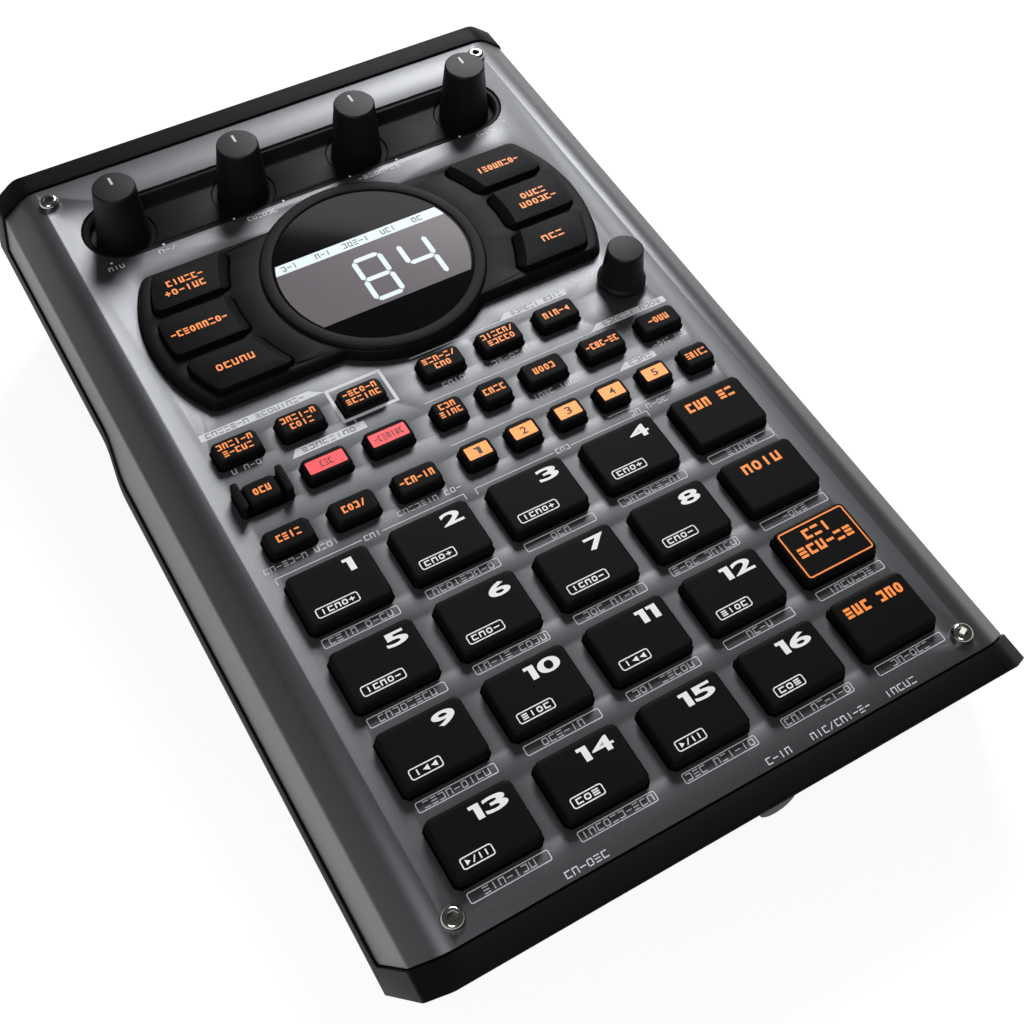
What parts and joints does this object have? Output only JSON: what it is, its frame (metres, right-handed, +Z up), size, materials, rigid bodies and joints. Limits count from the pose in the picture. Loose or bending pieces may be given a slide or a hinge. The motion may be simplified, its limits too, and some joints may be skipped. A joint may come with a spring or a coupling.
{
  "type": "drum machine",
  "caption": "Desktop drum machine with a sloping metal panel, rubber pads and keys, a round display, control knobs, and sockets on the front and rear edges.",
  "frame": {"origin": "middle of the overall box, on the table under the rubber feet", "axes": "+X to the player's right, +Y from the player's edge to the rear, +Z up"},
  "size_m": [0.1776, 0.2758, 0.0705],
  "materials": {
    "plate_metal": "speckled metallic grey, satin",
    "case_plastic": "black, satin",
    "key_rubber": "black silicone rubber, matt",
    "record_rubber": "lit red window in a black key",
    "bank_rubber": "lit orange window in a black key",
    "bezel_plastic": "black, fine satin",
    "lens_plastic": "glossy smoked window",
    "lcd_glass": "grey liquid crystal glass",
    "knob_plastic": "black, satin",
    "board": "green circuit board",
    "socket_plastic": "black sockets with nickel nuts",
    "nickel": "nickel plated steel",
    "foot_rubber": "black rubber"
  },
  "bodies": {
    "case": {"upper_case": "case_plastic", "bottom_case": "case_plastic", "faceplate": "plate_metal", "fx_bezel": "bezel_plastic", "display_ring": "bezel_plastic", "display_lens": "lens_plastic", "display_module": "lcd_glass", "knob_trough": "bezel_plastic", "main_board": "board", "key_mat": "foot_rubber", "front_jack_board": "socket_plastic", "rear_jack_board": "socket_plastic", "panel_screws": "nickel", "battery_contacts": "nickel", "rubber_feet": "foot_rubber"},
    "pad_01": {"pad_01": "key_rubber"},
    "pad_02": {"pad_02": "key_rubber"},
    "pad_03": {"pad_03": "key_rubber"},
    "pad_04": {"pad_04": "key_rubber"},
    "function_pad_1": {"function_pad_1": "key_rubber"},
    "pad_05": {"pad_05": "key_rubber"},
    "pad_06": {"pad_06": "key_rubber"},
    "pad_07": {"pad_07": "key_rubber"},
    "pad_08": {"pad_08": "key_rubber"},
    "function_pad_2": {"function_pad_2": "key_rubber"},
    "pad_09": {"pad_09": "key_rubber"},
    "pad_10": {"pad_10": "key_rubber"},
    "pad_11": {"pad_11": "key_rubber"},
    "pad_12": {"pad_12": "key_rubber"},
    "function_pad_3": {"function_pad_3": "key_rubber"},
    "pad_13": {"pad_13": "key_rubber"},
    "pad_14": {"pad_14": "key_rubber"},
    "pad_15": {"pad_15": "key_rubber"},
    "pad_16": {"pad_16": "key_rubber"},
    "function_pad_4": {"function_pad_4": "key_rubber"},
    "sequencer_keys": {"sequencer_keys": "key_rubber"},
    "edit_keys": {"edit_keys": "key_rubber"},
    "delete_key": {"delete_key": "key_rubber"},
    "record_key": {"record_key": "record_rubber"},
    "resample_key": {"resample_key": "record_rubber"},
    "mode_keys": {"mode_keys": "key_rubber"},
    "utility_keys": {"utility_keys": "key_rubber"},
    "bank_keys": {"bank_keys": "bank_rubber"},
    "shift_key": {"shift_key": "key_rubber"},
    "fx_key_1": {"fx_key_1": "key_rubber"},
    "fx_key_2": {"fx_key_2": "key_rubber"},
    "fx_key_3": {"fx_key_3": "key_rubber"},
    "fx_key_4": {"fx_key_4": "key_rubber"},
    "fx_key_5": {"fx_key_5": "key_rubber"},
    "fx_key_6": {"fx_key_6": "key_rubber"},
    "control_knob_1": {"control_knob_1": "knob_plastic"},
    "control_knob_2": {"control_knob_2": "knob_plastic"},
    "control_knob_3": {"control_knob_3": "knob_plastic"},
    "control_knob_4": {"control_knob_4": "knob_plastic"},
    "value_knob": {"value_knob": "knob_plastic"},
    "encoder_plunger": {"encoder_plunger": "nickel"},
    "gain_knob": {"gain_knob": "knob_plastic"},
    "input_switch": {"input_switch": "knob_plastic"},
    "power_switch": {"power_switch": "knob_plastic"},
    "battery_cover": {"battery_cover": "case_plastic"}
  },
  "joints": [
    {"name": "pad_01_press", "type": "slide", "parent": "case", "child": "pad_01", "axis": [0, 0.0698, -0.9976], "range_m": [0, 0.001], "stiffness_N_per_m": 800},
    {"name": "pad_02_press", "type": "slide", "parent": "case", "child": "pad_02", "axis": [0, 0.0698, -0.9976], "range_m": [0, 0.001], "stiffness_N_per_m": 800},
    {"name": "pad_03_press", "type": "slide", "parent": "case", "child": "pad_03", "axis": [0, 0.0698, -0.9976], "range_m": [0, 0.001], "stiffness_N_per_m": 800},
    {"name": "pad_04_press", "type": "slide", "parent": "case", "child": "pad_04", "axis": [0, 0.0698, -0.9976], "range_m": [0, 0.001], "stiffness_N_per_m": 800},
    {"name": "function_pad_1_press", "type": "slide", "parent": "case", "child": "function_pad_1", "axis": [0, 0.0698, -0.9976], "range_m": [0, 0.001], "stiffness_N_per_m": 800},
    {"name": "pad_05_press", "type": "slide", "parent": "case", "child": "pad_05", "axis": [0, 0.0698, -0.9976], "range_m": [0, 0.001], "stiffness_N_per_m": 800},
    {"name": "pad_06_press", "type": "slide", "parent": "case", "child": "pad_06", "axis": [0, 0.0698, -0.9976], "range_m": [0, 0.001], "stiffness_N_per_m": 800},
    {"name": "pad_07_press", "type": "slide", "parent": "case", "child": "pad_07", "axis": [0, 0.0698, -0.9976], "range_m": [0, 0.001], "stiffness_N_per_m": 800},
    {"name": "pad_08_press", "type": "slide", "parent": "case", "child": "pad_08", "axis": [0, 0.0698, -0.9976], "range_m": [0, 0.001], "stiffness_N_per_m": 800},
    {"name": "function_pad_2_press", "type": "slide", "parent": "case", "child": "function_pad_2", "axis": [0, 0.0698, -0.9976], "range_m": [0, 0.001], "stiffness_N_per_m": 800},
    {"name": "pad_09_press", "type": "slide", "parent": "case", "child": "pad_09", "axis": [0, 0.0698, -0.9976], "range_m": [0, 0.001], "stiffness_N_per_m": 800},
    {"name": "pad_10_press", "type": "slide", "parent": "case", "child": "pad_10", "axis": [0, 0.0698, -0.9976], "range_m": [0, 0.001], "stiffness_N_per_m": 800},
    {"name": "pad_11_press", "type": "slide", "parent": "case", "child": "pad_11", "axis": [0, 0.0698, -0.9976], "range_m": [0, 0.001], "stiffness_N_per_m": 800},
    {"name": "pad_12_press", "type": "slide", "parent": "case", "child": "pad_12", "axis": [0, 0.0698, -0.9976], "range_m": [0, 0.001], "stiffness_N_per_m": 800},
    {"name": "function_pad_3_press", "type": "slide", "parent": "case", "child": "function_pad_3", "axis": [0, 0.0698, -0.9976], "range_m": [0, 0.001], "stiffness_N_per_m": 800},
    {"name": "pad_13_press", "type": "slide", "parent": "case", "child": "pad_13", "axis": [0, 0.0698, -0.9976], "range_m": [0, 0.001], "stiffness_N_per_m": 800},
    {"name": "pad_14_press", "type": "slide", "parent": "case", "child": "pad_14", "axis": [0, 0.0698, -0.9976], "range_m": [0, 0.001], "stiffness_N_per_m": 800},
    {"name": "pad_15_press", "type": "slide", "parent": "case", "child": "pad_15", "axis": [0, 0.0698, -0.9976], "range_m": [0, 0.001], "stiffness_N_per_m": 800},
    {"name": "pad_16_press", "type": "slide", "parent": "case", "child": "pad_16", "axis": [0, 0.0698, -0.9976], "range_m": [0, 0.001], "stiffness_N_per_m": 800},
    {"name": "function_pad_4_press", "type": "slide", "parent": "case", "child": "function_pad_4", "axis": [0, 0.0698, -0.9976], "range_m": [0, 0.001], "stiffness_N_per_m": 800},
    {"name": "sequencer_keys_press", "type": "slide", "parent": "case", "child": "sequencer_keys", "axis": [0, 0.0698, -0.9976], "range_m": [0, 0.001], "stiffness_N_per_m": 800},
    {"name": "edit_keys_press", "type": "slide", "parent": "case", "child": "edit_keys", "axis": [0, 0.0698, -0.9976], "range_m": [0, 0.001], "stiffness_N_per_m": 800},
    {"name": "delete_key_press", "type": "slide", "parent": "case", "child": "delete_key", "axis": [0, 0.0698, -0.9976], "range_m": [0, 0.001], "stiffness_N_per_m": 800},
    {"name": "record_key_press", "type": "slide", "parent": "case", "child": "record_key", "axis": [0, 0.0698, -0.9976], "range_m": [0, 0.001], "stiffness_N_per_m": 800},
    {"name": "resample_key_press", "type": "slide", "parent": "case", "child": "resample_key", "axis": [0, 0.0698, -0.9976], "range_m": [0, 0.001], "stiffness_N_per_m": 800},
    {"name": "mode_keys_press", "type": "slide", "parent": "case", "child": "mode_keys", "axis": [0, 0.0698, -0.9976], "range_m": [0, 0.001], "stiffness_N_per_m": 800},
    {"name": "utility_keys_press", "type": "slide", "parent": "case", "child": "utility_keys", "axis": [0, 0.0698, -0.9976], "range_m": [0, 0.001], "stiffness_N_per_m": 800},
    {"name": "bank_keys_press", "type": "slide", "parent": "case", "child": "bank_keys", "axis": [0, 0.0698, -0.9976], "range_m": [0, 0.001], "stiffness_N_per_m": 800},
    {"name": "shift_key_press", "type": "slide", "parent": "case", "child": "shift_key", "axis": [0, 0.0698, -0.9976], "range_m": [0, 0.001], "stiffness_N_per_m": 800},
    {"name": "fx_key_1_press", "type": "slide", "parent": "case", "child": "fx_key_1", "axis": [0, 0.0698, -0.9976], "range_m": [0, 0.001], "stiffness_N_per_m": 800},
    {"name": "fx_key_2_press", "type": "slide", "parent": "case", "child": "fx_key_2", "axis": [0, 0.0698, -0.9976], "range_m": [0, 0.001], "stiffness_N_per_m": 800},
    {"name": "fx_key_3_press", "type": "slide", "parent": "case", "child": "fx_key_3", "axis": [0, 0.0698, -0.9976], "range_m": [0, 0.001], "stiffness_N_per_m": 800},
    {"name": "fx_key_4_press", "type": "slide", "parent": "case", "child": "fx_key_4", "axis": [0, 0.0698, -0.9976], "range_m": [0, 0.001], "stiffness_N_per_m": 800},
    {"name": "fx_key_5_press", "type": "slide", "parent": "case", "child": "fx_key_5", "axis": [0, 0.0698, -0.9976], "range_m": [0, 0.001], "stiffness_N_per_m": 800},
    {"name": "fx_key_6_press", "type": "slide", "parent": "case", "child": "fx_key_6", "axis": [0, 0.0698, -0.9976], "range_m": [0, 0.001], "stiffness_N_per_m": 800},
    {"name": "control_knob_1_turn", "type": "hinge", "parent": "case", "child": "control_knob_1", "pos_m": [-0.0573, 0.10279, 0.05317], "axis": [0, -0.0698, 0.9976], "range_deg": [-150, 150]},
    {"name": "control_knob_2_turn", "type": "hinge", "parent": "case", "child": "control_knob_2", "pos_m": [-0.0191, 0.10279, 0.05317], "axis": [0, -0.0698, 0.9976], "range_deg": [-150, 150]},
    {"name": "control_knob_3_turn", "type": "hinge", "parent": "case", "child": "control_knob_3", "pos_m": [0.0191, 0.10279, 0.05317], "axis": [0, -0.0698, 0.9976], "range_deg": [-150, 150]},
    {"name": "control_knob_4_turn", "type": "hinge", "parent": "case", "child": "control_knob_4", "pos_m": [0.0573, 0.10279, 0.05317], "axis": [0, -0.0698, 0.9976], "range_deg": [-150, 150]},
    {"name": "value_push", "type": "slide", "parent": "case", "child": "encoder_plunger", "axis": [0, 0.0698, -0.9976], "range_m": [0, 0.0007], "stiffness_N_per_m": 1500},
    {"name": "value_turn", "type": "hinge", "parent": "encoder_plunger", "child": "value_knob", "pos_m": [0.0611, 0.0158, 0.04708], "axis": [0, -0.0698, 0.9976], "continuous": true},
    {"name": "gain_turn", "type": "hinge", "parent": "case", "child": "gain_knob", "pos_m": [0.013, -0.13173, 0.0195], "axis": [0, -1, 0], "range_deg": [-150, 150]},
    {"name": "input_select", "type": "slide", "parent": "case", "child": "input_switch", "axis": [1, 0, 0], "range_m": [0, 0.0025]},
    {"name": "power_slide", "type": "slide", "parent": "case", "child": "power_switch", "axis": [1, 0, 0], "range_m": [0, 0.004]},
    {"name": "battery_cover_open", "type": "hinge", "parent": "case", "child": "battery_cover", "pos_m": [0, -0.03241, 0.003], "axis": [-1, 0, 0], "range_deg": [0, 90]}
  ]
}
